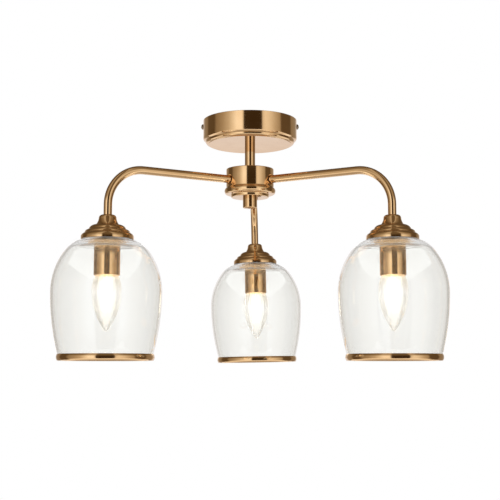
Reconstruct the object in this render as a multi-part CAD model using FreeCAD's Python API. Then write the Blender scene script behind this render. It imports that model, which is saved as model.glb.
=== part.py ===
import FreeCAD, Part
import math
import os

# A three-light semi flush ceiling light: a round ceiling rose, a short stem, a hub with
# three bent arms, and at the end of each arm a clear glass bell shade with a candle lamp.
# Millimetres and degrees. The origin is on the ceiling, at the middle of the rose, and
# everything hangs below it. +X is to the right and +Y to the back.

# Arms: heading round the stem, and how far the arm has turned in its hole. The back arm
# was tightened a little askew.
arms = {"left": (210.0, 0.0), "right": (330.0, 0.0), "back": (88.2, -1.0)}
arm_reach = 193.6
arm_drop = 78.3
arm_bend = 45.0
tube_radius = 5.0
tube_wall = 1.0

# Fits
thread_fit = 0.05
slide_fit = 0.1
turn_gap = 0.3
seat_gap = 0.2

# How far a cut runs past the face it opens
cut_past = 1.0

# Ceiling rose, a spun cup. Its rolled edge is given by how far each point lies in from the
# wall and up from the underside; a pair of points is the middle and the end of an arc.
rose_radius = 60.0
rose_depth = 31.0
rose_wall = 1.0
rose_edge = (0.0, 9.2)
rose_bead = ((-0.8, 7.0), (1.4, 4.8))
rose_groove = (2.4, 4.6)
rose_second_bead = ((2.8, 2.4), (5.0, 1.8))
rose_foot = ((5.6, 0.3), (7.4, 0.0))

# Mounting strap inside the rose
strap_thickness = 1.5
strap_width = 24.0
strap_shoulder = 48.0
strap_tab_width = 14.0
strap_tab_depth = 15.0
strap_tab_play = 0.9
strap_corner = 3.0
strap_fold = 1.4
ceiling_slot_spacing = 78.0
ceiling_slot_length = 14.0
ceiling_slot_width = 5.0
cable_hole_radius = 8.0

# Screws through the rose's side
rose_screw_radius = 2.0
rose_screw_length = 9.0
rose_screw_height = 7.5
rose_screw_head_radius = 3.5
rose_screw_head_height = 2.8
screw_slot_width = 1.0
screw_slot_depth = 1.2
screw_head_edge = 0.25

# Terminal block under the strap
block_place = 20.0
pole_pitch = 9.6
pole_length = 17.0
pole_radius = 4.4
pole_height = 5.2
tower_radius = 3.1
tower_height = 12.6
tower_pitch = 8.4
block_web = 2.4
block_web_inset = 2.0
block_end_wall = 1.5
barrel_radius = 2.7
barrel_bore = 1.9
terminal_screw_radius = 1.5
terminal_screw_recess = 1.0
terminal_screw_bite = 0.4
terminal_slot_width = 0.5
terminal_slot_depth = 0.8
block_screw_radius = 1.6
block_head_radius = 3.0
block_head_height = 2.0

# Earth screw on the strap
earth_place = 20.0
earth_screw_radius = 2.0
earth_head_radius = 3.8
earth_head_height = 2.4
earth_clamp_side = 9.0
earth_clamp_thickness = 1.2

# Stem
stem_radius = 6.6
stem_wall = 0.8
rod_above_rose = 8.0
rod_slot_width = 5.0
rod_slot_height = 10.0

# Hexagon lock nuts and washers on the hollow rods
nut_across_flats = 14.0
nut_thickness = 3.6
arm_nut_thickness = 2.6
washer_radius = 7.6
washer_thickness = 0.8
washer_teeth = 12
washer_tooth_depth = 1.2
arm_beyond_nut = 1.6

# Hub
hub_radius = 30.4
hub_top = 63.1
hub_height = 25.2
hub_wall = 3.0
hub_plate = 2.5
hub_edge = 0.8

# The plate under the hub, from the drum's wall down, as (radius, depth under the drum)
base_depth = 11.2
base_plate = 5.0
base_lip = 3.2
base_cove = ((30.9, 1.9), (32.6, 3.2))
base_flange = ((33.0, 5.2), (32.1, 6.6))
base_shelf = (25.7, 7.2)
base_tier_top = ((24.5, 7.6), (24.1, 8.4))
base_tier = (24.1, 10.2)
base_foot = ((23.8, 10.9), (23.1, 11.2))

# The round cap nut
finial_radius = 9.1
finial_depth = 13.5
finial_edge = 1.4
finial_bore_depth = 9.5

# Neck collar over each shade, as (radius, depth under its top)
collar_top = 136.0
collar_height = 12.0
collar_table = (7.0, 0.0)
collar_shoulder = ((9.4, 1.2), (10.4, 3.2))
collar_flare = ((11.35, 7.6), (14.1, 12.0))

# Stepped cap under the collar, as (radius, depth under its top)
cap_wall = 1.2
cap_height = 17.3
cap_band_height = 5.0
cap_table = (15.1, 0.0)
cap_dome = ((19.4, 2.0), (22.0, 5.2))
cap_dome_edge = (22.6, 5.8)
cap_step = ((25.4, 7.0), (26.4, 9.2))
cap_step_edge = (27.1, 9.8)
cap_shoulder = ((29.4, 11.4), (30.7, 13.1))
cap_rim = (31.2, 17.3)

# Glass shade
glass_top_gap = 0.2
glass_hole_radius = 14.7
glass_belly_radius = 65.0
glass_belly_depth = 61.5
glass_shoulder_radius = 48.0
glass_shoulder_depth = 11.9
glass_rim_radius = 53.5
glass_height = 140.5
glass_wall = 3.0
glass_shoulder_inset = 0.8
glass_shoulder_drop = 0.6
glass_top_thickness = 6.0
gasket_width = 3.2
gasket_height = 3.0

# Metal ring on the glass rim
ring_height = 9.0
ring_wall = 0.8
ring_bulge = 0.2
ring_draw = 0.2
ring_edge = 0.5
ring_lip_height = 5.5
ring_fit = 0.15047

# Lampholder
holder_height = 53.0
holder_radius = 14.0
holder_dome_radius = 12.0
holder_dome_height = 19.0
holder_wall = 1.5
holder_boss_radius = 7.6
holder_boss_depth = 10.0
holder_floor = 3.0
holder_spigot_height = 3.5
holder_bore = 9.8
holder_mouth_radius = 12.9
holder_mouth_height = 4.5
shell_wall = 0.5
shell_height = 15.0
holder_dome_edge = 2.4
tongue_width = 4.0
tongue_thickness = 0.5
tongue_reach = 6.0
tongue_foot = 3.0
tongue_pad_start = 0.6
tongue_pad_end = 1.6
tongue_drop = 2.4
sleeve_radius = 15.5
sleeve_bore = 14.6
sleeve_thread_height = 14.0
sleeve_overhang = 4.6

# Candle lamp with a small screw cap
lamp_length = 97.0
lamp_radius = 17.5
lamp_belly_depth = 50.0
lamp_tip_radius = 2.2
lamp_tip_depth = 1.2
lamp_glass_wall = 0.8
lamp_mouth_radius = 13.7
lamp_neck_radius = 6.4
lamp_thread_radius = 6.95
lamp_skirt_radius = 8.5
lamp_skirt_height = 5.0
lamp_thread_height = 15.0
lamp_skirt_chamfer = 1.2
lamp_contact_radius = 4.4
lamp_contact_height = 2.8
lamp_button_radius = 1.6
lamp_button_foot = 2.4
lamp_button_height = 0.6
lamp_cap_wall = 0.5
lamp_cap_roll = 0.9
lamp_neck_depth = 1.0
lamp_stem_length = 14.0
lamp_stem_shoulder = 1.5
lamp_stem_waist = 9.0
lamp_stem_tip_radius = 1.6
filament_count = 4
filament_radius = 1.0
filament_length = 36.0
filament_circle = 5.2
filament_low_circle = 3.6
filament_start = 36.0
wire_radius = 0.4
spider_drop = 1.0
mast_beyond = 1.5

up = FreeCAD.Vector(0, 0, 1)
outward = FreeCAD.Vector(1, 0, 0)


def point(across, height):
    return FreeCAD.Vector(across, 0, height)


def face_of(start, *runs):
    """A closed face from a half outline in (radius, height). A run is the end of a straight
    line, or the middle and the end of an arc."""
    edges = []
    here = start
    for run in runs + (start,):
        if isinstance(run[0], tuple):
            middle, end = run
            edges.append(Part.Arc(point(*here), point(*middle), point(*end)).toShape())
        else:
            end = run
            edges.append(Part.LineSegment(point(*here), point(*end)).toShape())
        here = end
    return Part.Face(Part.Wire(edges))


def turned(start, *runs):
    """A piece turned about the vertical axis from its half outline."""
    return face_of(start, *runs).revolve(FreeCAD.Vector(0, 0, 0), up, 360)


def rod(radius, low, high, across=0.0, side=0.0):
    return Part.makeCylinder(radius, high - low, FreeCAD.Vector(across, side, low), up)


def tube(radius, bore, low, high):
    return rod(radius, low, high).cut(rod(bore, low, high))


def cross_rod(radius, start, end, side=0.0, height=0.0):
    """A round bar along X."""
    return Part.makeCylinder(radius, end - start, FreeCAD.Vector(start, side, height), outward)


def block(low, high):
    size = [b - a for a, b in zip(low, high)]
    return Part.makeBox(size[0], size[1], size[2], FreeCAD.Vector(*low))


def crown(radius, base, top):
    """The run of an arc centred on the axis, from this radius at the base to the top, which
    may also be below."""
    rise = abs(top - base)
    ball = (radius ** 2 + rise ** 2) / (2 * rise)
    half = math.atan2(radius, ball - rise) / 2
    back = math.copysign(ball * (1 - math.cos(half)), base - top)
    return ((ball * math.sin(half), top + back), (0.0, top))


def shifted(runs, across, rise):
    """The same outline moved across and up."""
    def move(run):
        if isinstance(run[0], tuple):
            return tuple(move(part) for part in run)
        return (run[0] + across, run[1] + rise)
    return [move(run) for run in runs]


def under(level, runs):
    """Runs given as (radius, depth under this level)."""
    def drop(run):
        if isinstance(run[0], tuple):
            return tuple(drop(part) for part in run)
        return (run[0], level - run[1])
    return [drop(run) for run in runs]


def turn_to(shape, angle):
    return shape.rotated(FreeCAD.Vector(0, 0, 0), up, angle)


def hung(shape, heading, lean):
    """Takes a piece from an arm drawn along +X to that arm's heading and lean."""
    leaned = shape.rotated(FreeCAD.Vector(0, 0, -arm_drop), outward, lean)
    return turn_to(leaned, heading)


def mirrored(shape):
    return turn_to(shape, 180)


# Heights that follow from the driving sizes
rose_floor = rose_wall - rose_depth
hub_low = -hub_top - hub_height
base_low = hub_low - base_depth
finial_low = base_low - finial_depth
collar_low = -collar_top - collar_height
cap_low = collar_low - cap_height
holder_top = collar_low - cap_wall - washer_thickness
holder_low = holder_top - holder_height
holder_joint = holder_top - holder_dome_height
holder_floor_low = holder_joint - holder_floor
glass_top = cap_low - glass_top_gap
glass_ceiling = glass_top - glass_top_thickness
glass_belly = glass_top - glass_belly_depth
glass_low = glass_top - glass_height
ring_low = glass_low - seat_gap - ring_wall
ring_high = ring_low + ring_height

# The ring stands off the glass where the glass is widest under it. From its belly to its rim
# the glass is one arc, upright at the belly.
glass_draw = glass_belly_radius - glass_rim_radius
glass_arc = (glass_draw ** 2 + (glass_belly - glass_low) ** 2) / (2 * glass_draw)
glass_at_ring = glass_belly_radius - glass_arc + math.sqrt(glass_arc ** 2 - (glass_belly - ring_high) ** 2)
ring_radius = glass_at_ring + ring_fit + ring_wall

sleeve_low = holder_low - sleeve_overhang
lamp_top = holder_floor_low - tongue_drop - tongue_thickness - turn_gap
lamp_tip = lamp_top - lamp_length
thread_top = lamp_top - lamp_contact_height - slide_fit
skirt_top = thread_top - lamp_thread_height
skirt_low = skirt_top - lamp_skirt_height
lamp_belly = lamp_top - lamp_belly_depth
lamp_neck = skirt_top - lamp_neck_depth
filament_top = lamp_top - filament_start
filament_low = filament_top - filament_length
thread_bore = tube_radius + thread_fit
nut_corner = nut_across_flats / math.sqrt(3)
spigot_top = -arm_drop - nut_corner - turn_gap


# The rose and what is inside it

def rose_outline():
    """The outer skin from the ceiling down the wall, over the rolled edge and in to the flat
    underside."""
    def place(run):
        if isinstance(run[0], tuple):
            return tuple(place(part) for part in run)
        return (rose_radius - run[0], run[1] - rose_depth)
    edge = [place(run) for run in (rose_edge, rose_bead, rose_groove, rose_second_bead, rose_foot)]
    return [(rose_radius, 0.0)] + edge + [(0.0, -rose_depth)]


def ceiling_rose():
    outer = rose_outline()
    inner = shifted(outer[:-1], -rose_wall, rose_wall)
    cup = turned((0.0, 0.0), *outer)
    hollow = turned((0.0, rose_wall), *inner, (0.0, rose_floor))
    holes = rod(thread_bore, -rose_depth, rose_floor)
    hole_radius = rose_screw_radius + slide_fit
    holes = holes.fuse(cross_rod(hole_radius, -rose_radius, rose_radius, 0, -rose_screw_height))
    return cup.cut(hollow).cut(holes)


tab_face = rose_radius - rose_wall - strap_tab_play


def strap_plan():
    """The strap seen from below: a broad middle that narrows to a tab at each end."""
    half = strap_width / 2
    tab_half = strap_tab_width / 2
    corners = [
        (-tab_face, -tab_half), (-strap_shoulder - half + tab_half, -tab_half),
        (-strap_shoulder, -half), (strap_shoulder, -half),
        (strap_shoulder + half - tab_half, -tab_half), (tab_face, -tab_half),
    ]
    corners += [(x, -y) for x, y in reversed(corners)]
    points = [FreeCAD.Vector(x, y, -strap_thickness) for x, y in corners]
    return Part.Face(Part.makePolygon(points + points[:1]))


def ceiling_slot():
    run = (ceiling_slot_length - ceiling_slot_width) / 2
    middle = ceiling_slot_spacing / 2
    radius = ceiling_slot_width / 2
    ends = [rod(radius, -strap_thickness, 0, middle + step) for step in (-run, run)]
    straight = block((middle - run, -radius, -strap_thickness), (middle + run, radius, 0))
    return straight.fuse(ends)


def mounting_strap():
    plate = strap_plan().extrude(FreeCAD.Vector(0, 0, strap_thickness))
    half = strap_tab_width / 2
    tab = block((tab_face - strap_thickness, -half, -strap_tab_depth), (tab_face, half, 0))
    corners = [edge for edge in tab.Edges
               if abs(edge.CenterOfMass.z + strap_tab_depth) < 0.1 and abs(edge.CenterOfMass.y) > 1]
    tab = tab.makeFillet(strap_corner, corners)
    screw_hole = cross_rod(rose_screw_radius + thread_fit, tab_face - strap_thickness,
                           tab_face, 0, -rose_screw_height)
    tab = tab.cut(screw_hole)
    strap = plate.fuse([tab, mirrored(tab)]).removeSplitter()
    folds = [edge for edge in strap.Edges
             if abs(edge.CenterOfMass.z) < 0.1 and abs(abs(edge.CenterOfMass.x) - tab_face) < 0.1]
    strap = strap.makeFillet(strap_fold, folds)
    holes = [
        ceiling_slot(), mirrored(ceiling_slot()),
        rod(cable_hole_radius, -strap_thickness, 0),
        rod(earth_screw_radius + thread_fit, -strap_thickness, 0, -earth_place),
        rod(block_screw_radius + thread_fit, -strap_thickness, 0, block_place, pole_pitch / 2),
    ]
    return strap.cut(holes)


def slotted_dome(radius, height):
    """A domed screw head that stands on z = 0, with its slot along Y."""
    edge = height * screw_head_edge
    dome = turned((0.0, 0.0), (radius, 0.0), (radius, edge), crown(radius, edge, height))
    slot = block((-screw_slot_width / 2, -radius, height - screw_slot_depth),
                 (screw_slot_width / 2, radius, height))
    return dome.cut(slot)


def rose_screws():
    head = slotted_dome(rose_screw_head_radius, rose_screw_head_height)
    shank = rod(rose_screw_radius, -rose_screw_length, 0)
    screw = head.fuse(shank)
    screw = screw.rotated(FreeCAD.Vector(0, 0, 0), FreeCAD.Vector(0, 1, 0), 90)
    screw = screw.translated(FreeCAD.Vector(rose_radius, 0, -rose_screw_height))
    return [screw, mirrored(screw)]


pole_places = [step * pole_pitch for step in (-1, 0, 1)]
tower_places = [block_place + step * tower_pitch / 2 for step in (-1, 1)]
barrel_height = -strap_thickness - pole_height


def terminal_block():
    """A moulded strip of three poles, each a round barrel with two screw towers."""
    top = -strap_thickness
    start = block_place - pole_length / 2
    end = block_place + pole_length / 2
    web = block((start + block_web_inset, -pole_pitch - pole_radius, top - block_web),
                (end - block_web_inset, pole_pitch + pole_radius, top))
    solids = []
    holes = []
    for side in pole_places:
        solids.append(cross_rod(pole_radius, start, end, side, barrel_height))
        holes.append(cross_rod(barrel_radius, start + block_end_wall, end - block_end_wall, side,
                               barrel_height))
        holes.append(cross_rod(barrel_bore, start, end, side, barrel_height))
        for across in tower_places:
            solids.append(rod(tower_radius, top - tower_height, barrel_height, across, side))
            holes.append(rod(terminal_screw_radius + slide_fit, top - tower_height,
                             barrel_height, across, side))
    moulding = web.fuse(solids)
    holes.append(rod(block_screw_radius + slide_fit, top - tower_height, top, block_place,
                     pole_pitch / 2))
    return moulding.cut(holes)


def terminal_barrels():
    barrels = []
    inset = block_end_wall + seat_gap
    start = block_place - pole_length / 2 + inset
    end = block_place + pole_length / 2 - inset
    for side in pole_places:
        outer = cross_rod(barrel_radius - thread_fit, start, end, side, barrel_height)
        bore = cross_rod(barrel_bore, start, end, side, barrel_height)
        taps = [rod(terminal_screw_radius + thread_fit, barrel_height - pole_radius,
                    barrel_height, across, side) for across in tower_places]
        barrels.append(outer.cut([bore] + taps))
    return barrels


def terminal_screws():
    screws = []
    low = -strap_thickness - tower_height + terminal_screw_recess
    high = barrel_height - barrel_bore + terminal_screw_bite
    half = terminal_slot_width / 2
    for side in pole_places:
        for across in tower_places:
            body = rod(terminal_screw_radius, low, high, across, side)
            slot = block((across - terminal_screw_radius, side - half, low),
                         (across + terminal_screw_radius, side + half, low + terminal_slot_depth))
            screws.append(body.cut(slot))
    return screws


def head_below(radius, height, level):
    """A slotted domed head that hangs under this level."""
    head = slotted_dome(radius, height).rotated(FreeCAD.Vector(0, 0, 0), outward, 180)
    return head.translated(FreeCAD.Vector(0, 0, level))


def block_screw():
    """The screw between two poles that holds the terminal block up to the strap."""
    reach = pole_pitch / 2 - block_head_radius
    seat = barrel_height - math.sqrt(pole_radius ** 2 - reach ** 2) - thread_fit
    shank = rod(block_screw_radius, seat, -seat_gap)
    screw = head_below(block_head_radius, block_head_height, seat).fuse(shank)
    return screw.translated(FreeCAD.Vector(block_place, pole_pitch / 2, 0))


def earth_screw():
    """A pan head screw and its square clamp, up through the strap."""
    clamp_low = -strap_thickness - earth_clamp_thickness
    half = earth_clamp_side / 2
    clamp = block((-half, -half, clamp_low), (half, half, -strap_thickness))
    clamp = clamp.cut(rod(earth_screw_radius + slide_fit, clamp_low, -strap_thickness))
    head = head_below(earth_head_radius, earth_head_height, clamp_low)
    screw = head.fuse(rod(earth_screw_radius, clamp_low, -seat_gap))
    shift = FreeCAD.Vector(-earth_place, 0, 0)
    return [clamp.translated(shift), screw.translated(shift)]


# The stem and the hub

def stem_tube():
    return tube(stem_radius, stem_radius - stem_wall, -hub_top, -rose_depth)


def stem_rod():
    """The hollow threaded rod from the rose to the finial, with a window for the wires."""
    low = base_low - finial_bore_depth + seat_gap
    body = tube(tube_radius, tube_radius - tube_wall, low, rose_floor + rod_above_rose)
    middle = -arm_drop
    window = block((-tube_radius, -rod_slot_width / 2, middle - rod_slot_height / 2),
                   (0, rod_slot_width / 2, middle + rod_slot_height / 2))
    return body.cut(window)


def hub_body():
    inner = hub_radius - hub_wall
    ceiling = -hub_top - hub_plate
    body = turned(
        (thread_bore, -hub_top),
        (hub_radius - hub_edge, -hub_top),
        ((hub_radius - hub_edge * (1 - math.sqrt(0.5)), -hub_top - hub_edge * (1 - math.sqrt(0.5))),
         (hub_radius, -hub_top - hub_edge)),
        (hub_radius, hub_low),
        (inner, hub_low),
        (inner, ceiling),
        (thread_bore, ceiling),
    )
    holes = [hung(cross_rod(thread_bore, 0, hub_radius + cut_past, 0, -arm_drop), heading, lean)
             for heading, lean in arms.values()]
    return body.cut(holes)


def hub_base():
    """The turned plate under the hub: a spigot inside the wall that stops short of the arms'
    nuts, a cove out to a rounded flange, and a lower tier."""
    spigot = hub_radius - hub_wall - slide_fit
    skin = (base_cove, base_flange, base_shelf, base_tier_top, base_tier, base_foot)
    return turned(
        (thread_bore, base_low + base_plate),
        (spigot - base_lip, base_low + base_plate),
        (spigot - base_lip, spigot_top),
        (spigot, spigot_top),
        (spigot, hub_low),
        (hub_radius, hub_low),
        *under(hub_low, skin),
        (thread_bore, base_low),
    )


def hub_finial():
    """The round cap nut that closes the hub from below."""
    bend = finial_edge * (1 - math.sqrt(0.5))
    body = turned(
        (0.0, base_low),
        (finial_radius, base_low),
        (finial_radius, finial_low + finial_edge),
        ((finial_radius - bend, finial_low + bend), (finial_radius - finial_edge, finial_low)),
        (0.0, finial_low),
    )
    return body.cut(rod(thread_bore, base_low - finial_bore_depth, base_low))


# Nuts and washers on the hollow rods

def lock_nut(low, thickness):
    points = [FreeCAD.Vector(nut_corner * math.cos(math.radians(60 * k)),
                             nut_corner * math.sin(math.radians(60 * k)), low) for k in range(7)]
    hexagon = Part.Face(Part.makePolygon(points)).extrude(FreeCAD.Vector(0, 0, thickness))
    return hexagon.cut(rod(thread_bore, low, low + thickness))


def toothed_washer(low):
    """A shakeproof washer with its teeth round the outside."""
    ring = tube(washer_radius, tube_radius + slide_fit, low, low + washer_thickness)
    gap_width = math.pi * washer_radius / washer_teeth
    gap = block((washer_radius - washer_tooth_depth, -gap_width / 2, low),
                (washer_radius + cut_past, gap_width / 2, low + washer_thickness))
    return ring.cut([turn_to(gap, 360 * k / washer_teeth) for k in range(washer_teeth)])


def along_arm(shape, start):
    """Takes a piece that stands on z = 0 on the axis to the arm's axis, pointing outward."""
    laid = shape.rotated(FreeCAD.Vector(0, 0, 0), FreeCAD.Vector(0, 1, 0), 90)
    return laid.translated(FreeCAD.Vector(start, 0, -arm_drop))


arm_seat = math.sqrt((hub_radius - hub_wall) ** 2 - nut_corner ** 2)
arm_washer_start = arm_seat - washer_thickness
arm_nut_start = arm_washer_start - arm_nut_thickness
arm_start = arm_nut_start - arm_beyond_nut
arm_end = holder_top - holder_boss_depth + seat_gap


def lock_nuts():
    nuts = [
        lock_nut(rose_floor + washer_thickness, nut_thickness),
        lock_nut(-hub_top - hub_plate - washer_thickness - nut_thickness, nut_thickness),
    ]
    for heading, lean in arms.values():
        nuts.append(hung(along_arm(lock_nut(0, arm_nut_thickness), arm_nut_start), heading, lean))
    return nuts


def shakeproof_washers():
    washers = [
        toothed_washer(rose_floor),
        toothed_washer(-hub_top - hub_plate - washer_thickness),
    ]
    for heading, lean in arms.values():
        washers.append(hung(along_arm(toothed_washer(0), arm_washer_start), heading, lean))
        under_cap = toothed_washer(holder_top).translated(outward * arm_reach)
        washers.append(hung(under_cap, heading, lean))
    return washers


# One arm, drawn along +X

def arm_tube():
    """A level run out of the hub, one round bend, and a short drop into the lampholder."""
    level = -arm_drop
    bend_start = arm_reach - arm_bend
    half = math.sqrt(0.5)
    start = point(arm_start, level)
    bend = point(bend_start, level)
    middle = point(bend_start + arm_bend * half, level - arm_bend * (1 - half))
    drop = point(arm_reach, level - arm_bend)
    route = Part.Wire([
        Part.LineSegment(start, bend).toShape(),
        Part.Arc(bend, middle, drop).toShape(),
        Part.LineSegment(drop, point(arm_reach, arm_end)).toShape(),
    ])
    rings = [Part.Wire(Part.makeCircle(radius, start, outward))
             for radius in (tube_radius, tube_radius - tube_wall)]
    outer, bore = [route.makePipeShell([ring], True, False) for ring in rings]
    return outer.cut(bore)


# One shade with its lamp, drawn on the vertical axis

def neck_collar():
    """A rounded shoulder on the arm that flares down to the cap."""
    return turned(
        (thread_bore, -collar_top),
        *under(-collar_top, (collar_table, collar_shoulder, collar_flare)),
        (thread_bore, collar_low),
    )


def cap_outline():
    """Three rounded steps from under the collar out to the straight rim band."""
    return under(collar_low, (cap_table, cap_dome, cap_dome_edge, cap_step, cap_step_edge,
                              cap_shoulder, cap_rim))


def shade_cap():
    outer = cap_outline()
    inner = shifted(outer, -cap_wall, -cap_wall)
    solid = turned((0.0, collar_low), *outer, (0.0, cap_low))
    hollow = turned((0.0, collar_low - cap_wall), *inner, (0.0, cap_low - cap_wall))
    return solid.cut(hollow).cut(rod(thread_bore, collar_low - cap_wall, collar_low))


def shade_gasket():
    """The soft ring that the cap presses on the glass."""
    outer = cap_shoulder[1][0] - cap_wall - seat_gap
    high = cap_low + gasket_height
    return tube(outer, outer - gasket_width, glass_top, high)


def arc_between(start, heading, end):
    """The arc that leaves start at this heading and meets end: its middle, and the heading
    at its end. Headings are radians from the outward direction."""
    across = end[0] - start[0]
    rise = end[1] - start[1]
    chord = math.hypot(across, rise)
    turn = 2 * (math.atan2(rise, across) - heading)
    bow = chord / 2 * math.tan(turn / 4)
    middle = ((start[0] + end[0]) / 2 + bow * rise / chord,
              (start[1] + end[1]) / 2 - bow * across / chord)
    return middle, heading + turn


def arc_to_level(start, heading, level):
    """The arc that leaves start at this heading and runs out level at this height."""
    steep = math.pi - heading
    radius = (level - start[1]) / (1 - math.cos(steep))
    end = (start[0] - radius * math.sin(steep), level)
    middle, heading = arc_between(start, heading, end)
    return middle, end


def glass_skin(inset, level, low):
    """The glass outline from its rim up over the belly and the shoulder to its flat top."""
    rim = (glass_rim_radius - inset, low)
    belly = (glass_belly_radius - inset, glass_belly)
    straight_up = math.pi / 2
    middle, heading = arc_between(belly, -straight_up, rim)
    shoulder = (glass_shoulder_radius - inset * glass_shoulder_inset,
                glass_top - glass_shoulder_depth - inset * glass_shoulder_drop)
    shoulder_middle, shoulder_heading = arc_between(belly, straight_up, shoulder)
    top_middle, top = arc_to_level(shoulder, shoulder_heading, level)
    return rim, [(middle, belly), (shoulder_middle, shoulder), (top_middle, top)]


def glass_shade():
    """A blown bell: a thick flat top round its hole, and a thinner wall to the rim."""
    rim, outer = glass_skin(0.0, glass_top, glass_low)
    inner_rim, inner = glass_skin(glass_wall, glass_ceiling, glass_low)
    solid = turned((0.0, glass_low), rim, *outer, (0.0, glass_top))
    hollow = turned((0.0, glass_low), inner_rim, *inner, (0.0, glass_ceiling))
    return solid.cut(hollow).cut(rod(glass_hole_radius, glass_ceiling, glass_top))


def rim_ring():
    """A rolled brass channel that is cemented over the rim of the glass."""
    inner = glass_rim_radius - glass_wall - ring_wall - seat_gap
    groove_low = glass_low - seat_gap
    lip_high = ring_low + ring_lip_height
    return turned(
        (ring_radius - ring_wall, ring_high),
        (ring_radius - ring_draw, ring_high),
        ((ring_radius + ring_bulge, (ring_high + ring_low) / 2),
         (ring_radius - ring_draw * 2, ring_low + ring_edge)),
        (ring_radius - ring_edge * 2, ring_low),
        (inner + ring_edge, ring_low),
        (inner, ring_low + ring_edge),
        (inner, lip_high),
        (inner + ring_wall, lip_high),
        (inner + ring_wall, groove_low),
        (ring_radius - ring_wall, groove_low),
    )


def holder_dome():
    """The top half of the lampholder, screwed on the end of the arm."""
    corner = holder_dome_edge
    bore = holder_dome_radius - holder_wall
    return turned(
        (thread_bore, holder_top),
        (holder_dome_radius - corner, holder_top),
        ((holder_dome_radius - corner * (1 - math.sqrt(0.5)),
          holder_top - corner * (1 - math.sqrt(0.5))),
         (holder_dome_radius, holder_top - corner)),
        (holder_dome_radius, holder_joint),
        (bore, holder_joint),
        (bore, holder_top - corner),
        (holder_boss_radius, holder_top - corner),
        (holder_boss_radius, holder_top - holder_boss_depth),
        (thread_bore, holder_top - holder_boss_depth),
    )


shell_bore = lamp_thread_radius + slide_fit
shell_low = skirt_top + turn_gap + shell_wall
shell_seat = shell_bore + shell_wall + thread_fit


def holder_body():
    """The bottom half of the lampholder, a threaded skirt with the socket in it."""
    spigot = holder_dome_radius - holder_wall - thread_fit
    return turned(
        (0.0, holder_joint + holder_spigot_height),
        (spigot, holder_joint + holder_spigot_height),
        (spigot, holder_joint),
        (holder_radius, holder_joint),
        (holder_radius, holder_low),
        (holder_mouth_radius, holder_low),
        (holder_bore, holder_low + holder_mouth_height),
        (holder_bore, shell_low),
        (shell_seat, shell_low),
        (shell_seat, holder_floor_low),
        (0.0, holder_floor_low),
    )


def contact_shell():
    """The threaded metal shell that takes the lamp, with a rolled foot."""
    outer = shell_bore + shell_wall
    foot = shell_low - shell_wall
    return turned(
        (shell_bore, shell_low + shell_height),
        (outer, shell_low + shell_height),
        (outer, shell_low),
        (holder_bore - seat_gap, shell_low),
        (holder_bore - seat_gap, foot),
        (shell_bore, foot),
    )


def centre_contact():
    """A sprung tongue that reaches down to the middle of the lamp's cap."""
    top = holder_floor_low
    low = top - tongue_drop
    thick = tongue_thickness
    face = face_of(
        (-tongue_reach, top), (-tongue_foot, top), (-tongue_pad_start, low), (tongue_pad_end, low),
        (tongue_pad_end, low - thick), (-tongue_pad_start - thick, low - thick),
        (-tongue_foot - thick, top - thick), (-tongue_reach, top - thick),
    )
    strip = face.extrude(FreeCAD.Vector(0, tongue_width, 0))
    return strip.translated(FreeCAD.Vector(0, -tongue_width / 2, 0))


def holder_sleeve():
    """The bright sleeve screwed up the lampholder to hold the glass against the cap."""
    thread_low = glass_ceiling - sleeve_thread_height
    return turned(
        (holder_radius + thread_fit, glass_ceiling),
        (sleeve_radius, glass_ceiling),
        (sleeve_radius, sleeve_low),
        (sleeve_bore, sleeve_low),
        (sleeve_bore, thread_low),
        (holder_radius + thread_fit, thread_low),
    )


def bulb_contact():
    """The button and its insulator at the top of the lamp's cap."""
    low = lamp_top - lamp_contact_height
    return turned(
        (0.0, lamp_top), (lamp_button_radius, lamp_top),
        (lamp_button_foot, lamp_top - lamp_button_height),
        (lamp_contact_radius, low), (0.0, low),
    )


def bulb_cap():
    """The thin brass cap: a screw shell, and a wider skirt where it meets the glass."""
    wall = lamp_cap_wall
    roll = lamp_cap_roll
    hole = lamp_contact_radius - roll
    shoulder = skirt_top - lamp_skirt_chamfer
    return turned(
        (hole, thread_top),
        (lamp_thread_radius - roll, thread_top),
        (lamp_thread_radius, thread_top - roll),
        (lamp_thread_radius, skirt_top),
        (lamp_skirt_radius, shoulder),
        (lamp_skirt_radius, skirt_low),
        (lamp_skirt_radius - wall, skirt_low),
        (lamp_skirt_radius - wall, shoulder - wall),
        (lamp_thread_radius - wall, skirt_top - wall),
        (lamp_thread_radius - wall, thread_top - roll - wall / 2),
        (lamp_thread_radius - roll - wall / 2, thread_top - wall),
        (hole, thread_top - wall),
    )


def lamp_skin(inset):
    """The lamp's glass from its neck in the cap, out to its widest and down to its tip."""
    neck = (lamp_neck_radius - inset, lamp_neck)
    waist = (lamp_skirt_radius - lamp_cap_wall - slide_fit - inset, skirt_low - slide_fit)
    belly = (lamp_radius - inset, lamp_belly)
    mouth = (lamp_mouth_radius - inset, sleeve_low)
    tip = (lamp_tip_radius - inset / 2, lamp_tip + lamp_tip_depth + inset / 2)
    middle, heading = arc_between(belly, math.pi / 2, mouth)
    waist_middle, heading = arc_between(mouth, heading, waist)
    taper_middle, heading = arc_between(belly, -math.pi / 2, tip)
    return [neck, waist, (waist_middle, mouth), (middle, belly), (taper_middle, tip),
            crown(tip[0], tip[1], lamp_tip + inset)]


def bulb_glass():
    """The clear envelope, and the glass stem that is sealed into its neck."""
    top = lamp_neck
    outer = turned((0.0, top), *lamp_skin(0.0))
    envelope = outer.cut(turned((0.0, top), *lamp_skin(lamp_glass_wall)))
    bore = lamp_neck_radius - lamp_glass_wall - thread_fit
    tip = lamp_stem_tip_radius
    stem_low = top - lamp_stem_length
    stem = turned(
        (0.0, top), (bore, top), (bore, top - lamp_stem_shoulder),
        (((bore + tip) / 2 - thread_fit, top - lamp_stem_waist / 2), (tip, top - lamp_stem_waist)),
        (tip, stem_low), (0.0, stem_low),
    )
    return [envelope, stem]


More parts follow.
